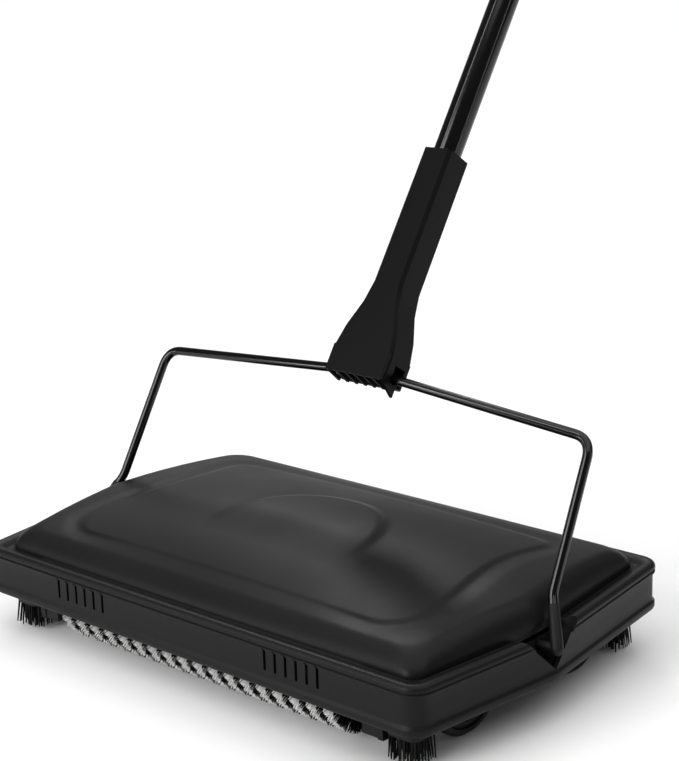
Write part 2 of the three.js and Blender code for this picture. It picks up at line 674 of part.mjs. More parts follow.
function handleSocket() {
  const outer = [
    [SOCKET_WIDTH, -4.6], [SOCKET_WIDTH, 9], [SOCKET_WIDTH - 4.5, 19],
    [SOCKET_NECK + 5, 32], [SOCKET_NECK + 0.8, 43], [SOCKET_NECK, SOCKET_TOP],
  ].map(([width, z]) => socketRing(width, SOCKET_DEPTH, z, 1.6));
  const inner = [
    [SOCKET_WIDTH - 4, -6], [SOCKET_WIDTH - 4, 9], [SOCKET_WIDTH - 8.5, 19], [SOCKET_NECK + 1, 32],
    [SOCKET_NECK - 3.6, 43], [SOCKET_NECK - 3.6, 54],
  ].map(([width, z]) => socketRing(width, SOCKET_DEPTH - 3.6, z, 0.6));
  let socket = solid(loft(outer)).subtract(solid(loft(inner)));
  const half = SOCKET_DEPTH / 2 - 0.2;
  for (let i = 0; i < RIB_COUNT; i += 1) {
    const x = (i / (RIB_COUNT - 1) - 0.5) * (SOCKET_WIDTH - 2.6);
    const tip = i === RIB_COUNT - 1 ? RIB_LIP : RIB_TIP;
    const rib = [[-half, 8.6], [-half, -4.6], [3.4, tip], [3.4, -2], [half, -2], [half, 8.6]];
    socket = socket.add(solid(profileX(rib, x - RIB_HALF, x + RIB_HALF)));
  }
  const mouth = box(-SOCKET_WIDTH, -WIRE_RADIUS - 0.5, -WIRE_RADIUS - 0.5, SOCKET_WIDTH, 5.2, 4.6);
  const entry = box(-SOCKET_WIDTH, 3.4, -12, SOCKET_WIDTH, 5.2, 4.6);
  socket = socket.subtract(solid(mouth)).subtract(solid(entry));
  for (const side of both) {
    const slope = BAIL_PEAK / BAIL_TOP_X;
    const start = new THREE.Vector3(-side, 0, 0);
    const end = new THREE.Vector3(side * 24, 0, -24 * slope);
    socket = socket.subtract(solid(rod(WIRE_RADIUS + 0.6, start, end)));
  }
  const bore = turned(rodProfile(POLE_RADIUS + 0.4, POLE_START - FIT, SOCKET_TOP + 1), 16);
  return piece('handle_socket', socket.subtract(solid(bore)), shellPlastic);
}

// one steel tube: open below, necked down and threaded above
function poleSection(name, number, top) {
  const z = POLE_START + number * POLE_PITCH;
  const [r, t] = [POLE_RADIUS, POLE_WALL];
  const body = z + POLE_LENGTH - THREAD_LENGTH;
  const drawn = [[r, body - NECK_LENGTH], [THREAD_RADIUS + 0.6, body - 1], [THREAD_RADIUS, body]];
  const neck = top ? [] : drawn;
  const end = top
    ? [[r, body], [r - t, body]]
    : [[THREAD_RADIUS, body + THREAD_LENGTH], [THREAD_RADIUS - 0.8, body + THREAD_LENGTH],
      [THREAD_RADIUS - 0.8, body - 1], [r - t, body - NECK_LENGTH]];
  const profile = [[r - t, z], [r, z], ...neck, ...end, [r - t, z]];
  return piece(name, turned(profile, 16), blackEnamel);
}

// the threaded plug pressed into the foot of a tube
function poleInsert(name, number) {
  const z = POLE_START + number * POLE_PITCH;
  const outer = POLE_RADIUS - POLE_WALL - FIT;
  const profile = ringProfile(THREAD_RADIUS + FIT, outer, z + 0.2, z + INSERT_LENGTH);
  return piece(name, turned(profile, 12), framePlastic);
}

function gripAndLoop() {
  const end = POLE_START + 3 * POLE_PITCH;
  const base = end - GRIP_LENGTH;
  const profile = [[POLE_RADIUS + FIT, base], [9.4, base], [10.6, base + 3]];
  for (let i = 0; i < GRIP_SWELLS; i += 1) {
    const z = base + 12 + i * SWELL_PITCH;
    profile.push([11.4, z], [10.8, z + 10]);
  }
  profile.push([11, end - 3], [9.8, end], [POLE_RADIUS + FIT, end], [POLE_RADIUS + FIT, base]);
  const eye = new THREE.Shape();
  eye.absarc(0, end + LOOP_RISE, LOOP_RADIUS, -0.9, Math.PI + 0.9);
  eye.lineTo(-LOOP_FOOT, end + FIT);
  eye.lineTo(LOOP_FOOT, end + FIT);
  const hole = new THREE.Path();
  hole.absarc(0, end + LOOP_RISE, LOOP_HOLE, 0, 2 * Math.PI, true);
  eye.holes.push(hole);
  const settings = { depth: LOOP_THICK, bevelEnabled: false, curveSegments: 10 };
  const loop = new THREE.ExtrudeGeometry(eye, settings);
  loop.rotateX(Math.PI / 2).translate(0, LOOP_THICK / 2, 0);
  const plug = turned(rodProfile(POLE_RADIUS - POLE_WALL - FIT, end - 14, end + 1), 16);
  return [
    piece('hand_grip', turned(profile, 16), gripPlastic),
    piece('hang_loop', solid(loop).add(solid(plug)), gripPlastic),
  ];
}

// ---------------------------------------------------------------- assembly

const head = new THREE.Group();
head.position.set(0, HEAD_Y, 0);
head.add(topCover(), chassis());
for (const end of both) {
  for (const side of both) {
    head.add(coverScrew(side, end), ...cornerBrush(side, end), wheel(side, end));
  }
  head.add(roller(end), panDoor(end), hingePin(end), closingSpring(end));
}
head.add(releaseTab());

const pole = new THREE.Group();
pole.position.set(0, 0, BAIL_HEIGHT + BAIL_PEAK);
pole.rotation.x = BAIL_LEAN - POLE_LEAN;
pole.add(handleSocket());
['lower', 'middle', 'upper'].forEach((name, number) => {
  pole.add(poleSection(`pole_${name}`, number, name === 'upper'));
  pole.add(poleInsert(`pole_insert_${name}`, number));
});
pole.add(...gripAndLoop());

const bailFrame = new THREE.Group();
bailFrame.position.set(0, PIVOT_Y, PIVOT_Z);
bailFrame.rotation.x = -BAIL_LEAN;
bailFrame.add(bail(), bailFoot(-1), bailFoot(1), pole);
head.add(bailFrame);

const sweeper = new THREE.Group();
sweeper.add(head);
export default sweeper;
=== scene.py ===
"""Looks of a push-along carpet sweeper: a crowned case on bristle rollers, a wire bail and a pole."""

import math
import random

import bmesh
import bpy
from mathutils import Matrix, Vector


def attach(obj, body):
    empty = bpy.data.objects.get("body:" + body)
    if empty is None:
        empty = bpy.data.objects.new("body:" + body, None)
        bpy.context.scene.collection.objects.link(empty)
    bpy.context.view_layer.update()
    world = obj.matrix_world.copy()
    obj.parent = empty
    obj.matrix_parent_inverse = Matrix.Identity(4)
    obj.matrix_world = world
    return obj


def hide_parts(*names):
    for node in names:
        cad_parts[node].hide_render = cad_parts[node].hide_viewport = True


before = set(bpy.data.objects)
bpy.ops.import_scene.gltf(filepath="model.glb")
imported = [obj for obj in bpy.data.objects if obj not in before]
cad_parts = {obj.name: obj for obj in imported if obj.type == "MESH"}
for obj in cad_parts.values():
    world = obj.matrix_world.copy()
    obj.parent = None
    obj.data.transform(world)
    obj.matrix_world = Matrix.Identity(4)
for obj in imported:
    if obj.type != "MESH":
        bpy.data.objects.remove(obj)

# ------------------------------------------------------------------ sizes, in mm about the case's middle

MM = 0.001
SIDES = (-1, 1)
FIT = 0.3  # gap that touching pieces keep
HEAD_Y = -223.584
HALF_WIDTH = 145.0
HALF_WIDTH_ENDS = 134.4
HALF_DEPTH = 90.0
CORNER_RADIUS = 10.0
DOME_CORNER = 8.0
SKIRT_BOTTOM = 19.0
RIM_TOP = 41.6
LEDGE_WIDTH = 9.2
LEDGE_TOP = 39.2
DOME_APEX = 60.15
CROWN_Y = 5.4
CROWN_SIDE = 4.6
CROWN_FRONT = 13.0
CROWN_REAR = 10.5
WALL = 2.2
WAIST = 1.1  # how far the case's side is drawn in between its lower and upper lips
SHOULDER_RUN = 10.0
SLOT_COUNT = 6
SLOT_FIRST = 51.0
SLOT_PITCH = 6.0
SLOT_SIZE = (1.5, 9.0, 10.4)
SLOT_MIDDLE = 32.2
PIVOT_Y = -8.0
PIVOT_Z = 33.4
NOTCH_APEX = 24.0
NOTCH_PLANE = 135.0
NOTCH_HALF_ANGLE = math.radians(46)
WHEEL_Y = 39.4
WHEEL_RADIUS = 23.0
WHEEL_INNER = 108.6
WHEEL_OUTER = 122.4
AXLE_RADIUS = 2.5
ROLLER_Y = 65.8
ROLLER_Z = 20.1
ROLLER_RADIUS = 19.5
ROLLER_HALF_LENGTH = 92.0
CORE_RADIUS = 5.0
SHAFT_RADIUS = 2.0
SHAFT_END = 108.7
ROLLER_DRUM = 7.8
DRUM_INNER = 97.0
DRUM_OUTER = 103.8
WHEEL_DRUM = math.hypot(ROLLER_Y - WHEEL_Y, WHEEL_RADIUS - ROLLER_Z) - ROLLER_DRUM - FIT
BRISTLE_PITCH = 9.7
BRISTLE_TURNS = 18
BRUSH_X = 117.4
BRUSH_Y = 73.0
BRUSH_TOP = 12.4
BAIL_LEAN = math.radians(29)
POLE_LEAN = math.radians(34)
BAIL_HEIGHT = 90.6
BAIL_PEAK = 9.6
BAIL_TOP_X = 131.4
FOOT_TOP = Vector((136.4, 0, 17.6))
FOOT_TIP = Vector((144.2, 0, 0))
FOOT_RADIUS = 2.9
PIN_RADIUS = 2.4
PIN_END = 127.0
WIRE_RADIUS = 2.25
SOCKET_WIDTH = 36.4
SOCKET_NECK = 17.0
SOCKET_DEPTH = 17.4
SOCKET_TOP = 114.0
RIB_COUNT = 7
RIB_HALF = 0.8
RIB_TIP = -6.4
RIB_LIP = -9.6  # the last rib reaches further down, as a hook round the wire
POLE_START = 60.0
POLE_LENGTH = 275.0
POLE_RADIUS = 7.0
POLE_BORE = 6.4
THREAD_LENGTH = 10.0
THREAD_RADIUS = 5.0
NECK_LENGTH = 17.0
POLE_PITCH = POLE_LENGTH - THREAD_LENGTH
GRIP_LENGTH = 118.0
GRIP_SWELLS = 5
SWELL_PITCH = 20.0

HEAD = Matrix.Scale(MM, 4) @ Matrix.Translation((0, HEAD_Y, 0))
BAIL = HEAD @ Matrix.Translation((0, PIVOT_Y, PIVOT_Z)) @ Matrix.Rotation(-BAIL_LEAN, 4, "X")
POLE = BAIL @ Matrix.Translation((0, 0, BAIL_HEIGHT + BAIL_PEAK))
POLE = POLE @ Matrix.Rotation(BAIL_LEAN - POLE_LEAN, 4, "X")


def save_size():
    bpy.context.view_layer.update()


save_size()


# ------------------------------------------------------------------ shader groups and materials

def group(name, inputs, outputs):
    tree = bpy.data.node_groups.new(name, "ShaderNodeTree")
    for label, kind, default in inputs:
        socket = tree.interface.new_socket(label, in_out="INPUT", socket_type=kind)
        socket.default_value = default
    for label, kind in outputs:
        tree.interface.new_socket(label, in_out="OUTPUT", socket_type=kind)
    return tree, tree.nodes.new("NodeGroupInput"), tree.nodes.new("NodeGroupOutput")


def node(tree, kind, **settings):
    made = tree.nodes.new(kind)
    for key, value in settings.items():
        setattr(made, key, value)
    return made


def noise(tree, vector, scale, detail=3.0, stretch=(1, 1, 1)):
    mapping = node(tree, "ShaderNodeMapping")
    mapping.inputs["Scale"].default_value = stretch
    tree.links.new(vector, mapping.inputs["Vector"])
    made = node(tree, "ShaderNodeTexNoise")
    made.inputs["Scale"].default_value = scale
    made.inputs["Detail"].default_value = detail
    tree.links.new(mapping.outputs["Vector"], made.inputs["Vector"])
    return made.outputs["Fac"]


def remap(tree, value, low, high, to_low, to_high):
    made = node(tree, "ShaderNodeMapRange", clamp=True)
    for key, number in (("From Min", low), ("From Max", high)):
        made.inputs[key].default_value = number
    tree.links.new(value, made.inputs["Value"])
    for key, target in (("To Min", to_low), ("To Max", to_high)):
        if isinstance(target, (int, float)):
            made.inputs[key].default_value = target
        else:
            tree.links.new(target, made.inputs[key])
    return made.outputs["Result"]


def grain_group():
    """Fine moulded grain: a height, and how much the roughness wanders."""
    tree, start, end = group(
        "moulded_grain",
        [("Scale", "NodeSocketFloat", 900.0)],
        [("Height", "NodeSocketFloat"), ("Wander", "NodeSocketFloat")],
    )
    where = node(tree, "ShaderNodeTexCoord").outputs["Object"]
    fine = node(tree, "ShaderNodeTexNoise")
    fine.inputs["Detail"].default_value = 4.0
    tree.links.new(where, fine.inputs["Vector"])
    tree.links.new(start.outputs["Scale"], fine.inputs["Scale"])
    broad = noise(tree, where, 14.0)
    tree.links.new(fine.outputs["Fac"], end.inputs["Height"])
    tree.links.new(broad, end.inputs["Wander"])
    return tree


def dust_group():
    """A faint film of dust that lies on what faces up."""
    tree, start, end = group(
        "settled_dust",
        [("Amount", "NodeSocketFloat", 0.1)],
        [("Mask", "NodeSocketFloat")],
    )
    normal = node(tree, "ShaderNodeSeparateXYZ")
    tree.links.new(node(tree, "ShaderNodeNewGeometry").outputs["Normal"], normal.inputs[0])
    up = remap(tree, normal.outputs["Z"], 0.4, 1.0, 0.0, 1.0)
    where = node(tree, "ShaderNodeTexCoord").outputs["Object"]
    patches = remap(tree, noise(tree, where, 38.0, 6.0), 0.4, 0.75, 0.2, 1.0)
    both = node(tree, "ShaderNodeMath", operation="MULTIPLY")
    scaled = node(tree, "ShaderNodeMath", operation="MULTIPLY")
    tree.links.new(up, both.inputs[0])
    tree.links.new(patches, both.inputs[1])
    tree.links.new(both.outputs[0], scaled.inputs[0])
    tree.links.new(start.outputs["Amount"], scaled.inputs[1])
    tree.links.new(scaled.outputs[0], end.inputs["Mask"])
    return tree


GRAIN = grain_group()
DUST = dust_group()
DUST_COLOUR = (0.22, 0.21, 0.2, 1)


def material(name, colour, roughness, metallic=0.0, grain=0.1, scale=900.0, dust=0.0, specular=0.5):
    made = bpy.data.materials.new(name)
    made.use_nodes = True
    tree = made.node_tree
    shader = tree.nodes["Principled BSDF"]
    shader.inputs["Metallic"].default_value = metallic
    shader.inputs["Specular IOR Level"].default_value = specular
    surface = node(tree, "ShaderNodeGroup", node_tree=GRAIN)
    surface.inputs["Scale"].default_value = scale
    bump = node(tree, "ShaderNodeBump")
    bump.inputs["Strength"].default_value = grain
    bump.inputs["Distance"].default_value = 0.0002
    tree.links.new(surface.outputs["Height"], bump.inputs["Height"])
    tree.links.new(bump.outputs["Normal"], shader.inputs["Normal"])
    rough = remap(tree, surface.outputs["Wander"], 0.3, 0.7, max(roughness - 0.05, 0.02), roughness + 0.05)
    tree.links.new(rough, shader.inputs["Roughness"])
    film = node(tree, "ShaderNodeGroup", node_tree=DUST)
    film.inputs["Amount"].default_value = dust
    mix = node(tree, "ShaderNodeMix", data_type="RGBA")
    mix.inputs["A"].default_value = (*colour, 1)
    mix.inputs["B"].default_value = DUST_COLOUR
    tree.links.new(film.outputs["Mask"], mix.inputs["Factor"])
    tree.links.new(mix.outputs["Result"], shader.inputs["Base Color"])
    return made


SHELL = material("case_plastic", (0.0065, 0.0065, 0.0067), 0.4, grain=0.12, dust=0.004, specular=0.12)
FRAME = material("frame_plastic", (0.004, 0.004, 0.0042), 0.5, grain=0.2, dust=0.003, specular=0.2)
SOCKET = material("socket_plastic", (0.003, 0.003, 0.0031), 0.4, grain=0.15, specular=0.08)
ENAMEL = material("black_enamel", (0.001, 0.001, 0.0011), 0.12, grain=0.02, specular=0.4)
RUBBER = material(
    "black_rubber", (0.008, 0.008, 0.008), 0.7, grain=0.4, scale=500.0, dust=0.02, specular=0.25)
STEEL = material("plated_steel", (0.5, 0.51, 0.53), 0.32, metallic=1.0, grain=0.05)
GRIP = material("grip_plastic", (0.015, 0.015, 0.016), 0.6, grain=0.5, scale=700.0)
DARK_BRISTLE = material("black_bristle", (0.003, 0.003, 0.003), 0.6, grain=0.0, specular=0.1)
PALE_BRISTLE = material("white_bristle", (0.95, 0.95, 0.94), 0.6, grain=0.0)


# ------------------------------------------------------------------ building pieces

def finished(name, bm, materials, body, replaces=(), place=None, angle=35):
    """A new object from bm at the origin, its faces turned outwards, smooth but for its sharp edges."""
    if place is not None:
        bmesh.ops.transform(bm, matrix=place, verts=bm.verts)
    bmesh.ops.recalc_face_normals(bm, faces=bm.faces)
    mesh = bpy.data.meshes.new(name)
    bm.to_mesh(mesh)
    bm.free()
    for one in materials:
        mesh.materials.append(one)
    mesh.shade_smooth()
    mesh.set_sharp_from_angle(angle=math.radians(angle))
    obj = bpy.data.objects.new(name, mesh)
    bpy.context.scene.collection.objects.link(obj)
    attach(obj, body)
    for one in replaces:
        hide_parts(one)
    return obj


def lofted(bm, rings):
    """Bridges rings of equal length in turn, and closes both ends."""
    loops = []
    for points in rings:
        verts = [bm.verts.new(p) for p in points]
        loops.append([bm.edges.new((verts[i - 1], verts[i])) for i in range(len(verts))])
    for low, high in zip(loops, loops[1:]):
        bmesh.ops.bridge_loops(bm, edges=low + high)
    for loop in (loops[0], loops[-1]):
        bmesh.ops.contextual_create(bm, geom=loop)


def turned(profile, segments, axis="Z"):
    """A closed profile of (radius, height) turned about an axis."""
    bm = bmesh.new()
    points = [Vector((r, 0, h)) for r, h in profile]
    verts = [bm.verts.new(p) for p in points]
    edges = [bm.edges.new((a, b)) for a, b in zip(verts, verts[1:])]
    if profile[0][0] > 0:
        edges.append(bm.edges.new((verts[-1], verts[0])))
    bmesh.ops.spin(
        bm, geom=verts + edges, cent=(0, 0, 0), axis=(0, 0, 1), angle=math.tau, steps=segments,
        use_merge=True,
    )
    bmesh.ops.remove_doubles(bm, verts=bm.verts, dist=1e-4)
    if axis == "X":
        bmesh.ops.rotate(bm, cent=(0, 0, 0), matrix=Matrix.Rotation(math.pi / 2, 3, "Y"), verts=bm.verts)
    return bm


def tube(inner, outer, start, end):
    """The profile of a plain ring, or of a rod where inner is 0."""
    return [(inner, start), (outer, start), (outer, end), (inner, end)]


def rounded(profile, radius=0.5, steps=3):
    """The closed profile with a small arc at each corner that lies off the axis."""
    out = []
    count = len(profile)
    for i, (r, h) in enumerate(profile):
        here = Vector((r, h))
        before = Vector(profile[i - 1]) - here
        after = Vector(profile[(i + 1) % count]) - here
        if r <= 1e-6:
            out.append((r, h))
            continue
        reach = min(radius, before.length * 0.45, after.length * 0.45)
        a = here + before.normalized() * reach
        b = here + after.normalized() * reach
        for step in range(steps + 1):
            t = step / steps
            p = a * (1 - t) ** 2 + here * 2 * t * (1 - t) + b * t * t
            out.append((p.x, p.y))
    return out


def swept(path, radius, sides=24):
    """A round rod along a path of points, closed at both ends."""
    bm = bmesh.new()
    rings = []
    previous = None
    for i, p in enumerate(path):
        ahead = (path[min(i + 1, len(path) - 1)] - path[max(i - 1, 0)]).normalized()
        across = Vector((0, 1, 0)) if previous is None else previous
        across = (across - ahead * across.dot(ahead)).normalized()
        previous = across
        up = ahead.cross(across)
        angles = [math.tau * k / sides for k in range(sides)]
        rings.append([p + across * radius * math.cos(a) + up * radius * math.sin(a) for a in angles])
    lofted(bm, rings)
    return bm


def prism(points, x0, x1):
    """An outline of (y, z) points drawn out along X."""
    bm = bmesh.new()
    face = bm.faces.new([bm.verts.new((x0, y, z)) for y, z in points])
    drawn = bmesh.ops.extrude_face_region(bm, geom=[face])["geom"]
    moved = [v for v in drawn if isinstance(v, bmesh.types.BMVert)]
    bmesh.ops.translate(bm, vec=(x1 - x0, 0, 0), verts=moved)
    bmesh.ops.recalc_face_normals(bm, faces=bm.faces)
    return bm


def joined(parts):
    """One bmesh holding all the given ones."""
    whole = bmesh.new()
    for part in parts:
        mesh = bpy.data.meshes.new("part")
        part.to_mesh(mesh)
        part.free()
        whole.from_mesh(mesh)
        bpy.data.meshes.remove(mesh)
    return whole


def cut(bm, cutters, added=()):
    """bm with the added pieces, less each of the cutters."""
    meshes = []
    for i, one in enumerate([bm, *added, *cutters]):
        mesh = bpy.data.meshes.new(f"cut_{i}")
        bmesh.ops.recalc_face_normals(one, faces=one.faces)
        one.to_mesh(mesh)
        one.free()
        meshes.append(bpy.data.objects.new(f"cut_{i}", mesh))
        bpy.context.scene.collection.objects.link(meshes[-1])
    main = meshes[0]
    for i, one in enumerate(meshes[1:]):
        modifier = main.modifiers.new("cut", "BOOLEAN")
        modifier.operation = "UNION" if i < len(added) else "DIFFERENCE"
        modifier.solver = "EXACT"
        modifier.object = one
    bpy.context.view_layer.update()
    shown = main.evaluated_get(bpy.context.evaluated_depsgraph_get())
    result = bmesh.new()
    result.from_mesh(shown.to_mesh())
    for one in meshes:
        mesh = one.data
        bpy.data.objects.remove(one)
        bpy.data.meshes.remove(mesh)
    bmesh.ops.remove_doubles(result, verts=result.verts, dist=1e-4)
    return result


def smooth(low, high, value):
    """Rises from 0 at low to 1 at high; low may be the greater, and then it falls."""
    t = min(max((value - low) / (high - low), 0.0), 1.0)
    return t * t * (3 - 2 * t)


# ------------------------------------------------------------------ the case

CORNER_STEPS = 8
LONG_STEPS = 44
SHORT_STEPS = 20


def plan_ring(inset, radius, height):
    """The case's outline, pulled in by inset, at height(x, y)."""
    corners = [
        (-HALF_WIDTH_ENDS, -HALF_DEPTH, True), (HALF_WIDTH_ENDS, -HALF_DEPTH, True),
        (HALF_WIDTH, PIVOT_Y, False), (HALF_WIDTH_ENDS, HALF_DEPTH, True),
        (-HALF_WIDTH_ENDS, HALF_DEPTH, True), (-HALF_WIDTH, PIVOT_Y, False),
    ]
    at = [Vector(c[:2]) for c in corners]
    stops = []
    for i, corner in enumerate(corners):
        before = (at[i] - at[i - 1]).normalized()
        after = (at[(i + 1) % 6] - at[i]).normalized()
        turn = before.angle(after)
        inward = Vector((-before.y, before.x))
        tip = at[i] + inward * inset - before * inset * math.tan(turn / 2)
        if not corner[2]:
            stops.append([tip])
            continue
        centre = tip - before * radius * math.tan(turn / 2) + inward * radius
        arc = []
        for step in range(CORNER_STEPS + 1):
            spoke = -inward * radius
            spoke.rotate(Matrix.Rotation(turn * step / CORNER_STEPS, 2))
            arc.append(centre + spoke)
        stops.append(arc)
    points = []
    for i, arc in enumerate(stops):
        points += arc
        start, end = arc[-1], stops[(i + 1) % 6][0]
        steps = LONG_STEPS if i % 3 == 0 else SHORT_STEPS
        points += [start.lerp(end, step / steps) for step in range(1, steps)]
    return [Vector((p.x, p.y, height(p.x, p.y) if callable(height) else height)) for p in points]


def dome_base(x, y):
    run = y - CROWN_Y
    fall = CROWN_FRONT * (run / 82) ** 2 if run < 0 else CROWN_REAR * (run / 66) ** 1.8
    return DOME_APEX - CROWN_SIDE * (x / 100) ** 2 - fall * (1 - 0.67 * (x / 128) ** 2)


def within(a, b, radius):
    """How far inside a corner with that radius a point lies, a and b inside its two edges."""
    if a < radius and b < radius:
        return radius - math.hypot(radius - a, radius - b)
    return min(a, b)


def panel(x, y):
    """The broad raised panel: its ends are drawn in behind and swell in front; its front edge is faint."""
    ends = 100.2 - 3.8 * math.sin(math.pi * (y + 12) / 66) - abs(x)
    back = within(ends, 55 - y, 10)
    inside = min(back, within(ends, y + 62, 16))
    strength = 0.25 + 0.75 * max(smooth(55, 98, abs(x)), smooth(-58, -40, y))
    return -0.65 * strength * (1 - smooth(-1.3, 1.3, inside)) * smooth(12, 1.5, -inside)


def brow(x, y):
    """The arched step in the middle of the top, which fades out towards the front."""
    reach = math.hypot((x - 2) / 46, (y + 24) / 56)
    return 1.5 * smooth(0, 7, (1 - reach) * 50) * smooth(-36, 2, y)


def dome_top(x, y):
    return dome_base(x, y) + panel(x, y) + brow(x, y)


def case_rings():
    def dome(inset, foot, drop, top, steps):
        rings = []
        for step in range(steps + 1):
            a = math.pi / 2 * step / steps
            run, rise = SHOULDER_RUN * (1 - math.cos(a)), math.sin(a)

            def height(x, y, rise=rise):
                return foot + (top(x, y) - drop - foot) * rise

            rings.append(plan_ring(inset + run, DOME_CORNER + run * 0.5, height))
        return rings

    def over(edge, drop, top, steps):
        rings = []
        for step in range(1, steps):
            k = 1 - step / steps
            rings.append([Vector((p.x * k, p.y * k, top(p.x * k, p.y * k) - drop)) for p in edge])
        return rings

    skirt = [
        (1.6, SKIRT_BOTTOM), (0.6, 19.3), (0.1, 20.2), (0, 21.2), (0, 22.4), (0.15, 22.9), (0.9, 23.6),
        (WAIST, 24.2), (WAIST, 27), (WAIST, 31), (WAIST, 35.8), (0.9, 36.4), (0.2, 36.8), (0.05, 37.2),
        (0.1, 37.7), (0.7, 38.1), (0.75, 38.5), (0.1, 38.9), (0, 39.4), (0.15, 40.3), (0.7, 41.1),
        (1.6, RIM_TOP), (3.2, 41.5), (5.4, 40.9), (7.2, 40.0), (8.3, 39.3), (8.9, LEDGE_TOP),
    ]
    outside = [plan_ring(inset, CORNER_RADIUS - min(inset, 8), z) for inset, z in skirt]
    shoulder = dome(LEDGE_WIDTH, LEDGE_TOP + 0.3, 0, dome_top, 12)
    inner = WAIST + WALL
    heights = (SKIRT_BOTTOM + 0.2, LEDGE_TOP - WALL)
    inner_skirt = [plan_ring(inner, CORNER_RADIUS - inner, z) for z in heights]
    inner_shoulder = dome(LEDGE_WIDTH + WALL, LEDGE_TOP - WALL, WALL, dome_base, 5)
    outer = outside + shoulder + over(shoulder[-1], 0, dome_top, 86)
    inside = inner_skirt + inner_shoulder + over(inner_shoulder[-1], WALL, dome_base, 14)
    return inside[::-1] + outer


def wedge(side, x0, x1, grow, top):
    """A V-shaped prism with its point down, as wide as the bail's feet swing."""
    apex = NOTCH_APEX - grow / math.sin(NOTCH_HALF_ANGLE)
    spread = (top - apex) * math.tan(NOTCH_HALF_ANGLE)
    points = [(PIVOT_Y, apex), (PIVOT_Y + spread, top), (PIVOT_Y - spread, top)]
    return prism(points, side * x0, side * x1)


def trough(side):
    """The pocket wall behind and under a V notch."""
    top = LEDGE_TOP - 0.2
    outer = NOTCH_APEX - 2 / math.sin(NOTCH_HALF_ANGLE)
    wide = (top - outer) * math.tan(NOTCH_HALF_ANGLE)
    narrow = (top - NOTCH_APEX) * math.tan(NOTCH_HALF_ANGLE)
    strip = [
        (PIVOT_Y - wide, top), (PIVOT_Y, outer), (PIVOT_Y + wide, top),
        (PIVOT_Y + narrow, top), (PIVOT_Y, NOTCH_APEX), (PIVOT_Y - narrow, top),
    ]
    back = wedge(side, NOTCH_PLANE - WALL, NOTCH_PLANE, 2, top)
    bore = turned([(0, side * 130), (2.75, side * 130), (2.75, side * 138), (0, side * 138)], 32, "X")
    bmesh.ops.translate(bore, vec=(0, PIVOT_Y, PIVOT_Z), verts=bore.verts)
    return joined([cut(back, [bore]), prism(strip, side * NOTCH_PLANE, side * 140.6)])


def slot_cutter(x):
    """A vent slot with round ends, through the front of the skirt."""
    bm = bmesh.new()
    bmesh.ops.create_cube(bm, size=1)
    bmesh.ops.scale(bm, vec=SLOT_SIZE, verts=bm.verts)
    edges = [e for e in bm.edges if abs(e.verts[0].co.y - e.verts[1].co.y) > 1]
    bmesh.ops.bevel(bm, geom=edges, offset=0.6, segments=3, profile=0.5, affect="EDGES", material=-1)
    bmesh.ops.translate(bm, vec=(x, -HALF_DEPTH + 3, SLOT_MIDDLE), verts=bm.verts)
    return bm


def case():
    bm = bmesh.new()
    lofted(bm, case_rings())
    cutters = [wedge(side, NOTCH_PLANE, HALF_WIDTH + 3, 0, RIM_TOP + 3) for side in SIDES]
    places = [SLOT_FIRST + SLOT_PITCH * slot for slot in range(SLOT_COUNT)]
    cutters += [slot_cutter(side * x) for side in SIDES for x in places]
    shell = cut(bm, cutters)
    whole = joined([shell, trough(-1), trough(1)])
    return finished("case", whole, [SHELL], "head", ["top_cover"], HEAD, 40)


case()


# ------------------------------------------------------------------ rollers and corner brushes

def bristle(bm, root, tip, width, index):
    """One tapered bristle from root to tip."""
    along = tip - root
    turn = along.to_track_quat("Z", "X").to_matrix().to_4x4()
    place = Matrix.Translation((root + tip) / 2) @ turn
    made = bmesh.ops.create_cone(
        bm, cap_ends=True, cap_tris=False, segments=3, radius1=width, radius2=width * 0.55,
        depth=along.length, matrix=place,
    )
    for face in {f for v in made["verts"] for f in v.link_faces}:
        face.material_index = index


def roller_bristles(end, place_name, seed):
    """Two spiral rows of bristle, one pale and one dark, wound side by side along the roller."""
    rng = random.Random(seed)
    bm = bmesh.new()
    per_turn = 56
    for start in range(2):
        for step in range(per_turn):
            share = step / per_turn
            angle = math.tau * share
            for lane in range(-3, 4):
                x = -ROLLER_HALF_LENGTH + 1.6 + (share + 0.5 * start) * BRISTLE_PITCH + lane * 0.2
                a = angle + rng.uniform(-0.05, 0.05)
                root = Vector((x, CORE_RADIUS * math.cos(a), CORE_RADIUS * math.sin(a)))
                b = a + rng.uniform(-0.05, 0.05)
                long = ROLLER_RADIUS - rng.uniform(0, 0.7) - 0.24 * lane * lane
                splay = lane * 0.27 + rng.uniform(-0.2, 0.2)
                tip = Vector((x + splay, long * math.cos(b), long * math.sin(b)))
                bristle(bm, root, tip, 0.5, 1 - start)
    place = HEAD @ Matrix.Translation((0, end * ROLLER_Y, ROLLER_Z))
    finishes = [DARK_BRISTLE, PALE_BRISTLE]
    obj = finished(f"roller_bristle_{place_name}", bm, finishes, f"roller_{place_name}",
                   [f"roller_bristles_{place_name}"], place, 80)
    rows = obj.modifiers.new("rows", "ARRAY")
    rows.use_relative_offset = False
    rows.use_constant_offset = True
    rows.constant_offset_displace = (BRISTLE_PITCH * MM, 0, 0)
    rows.count = BRISTLE_TURNS


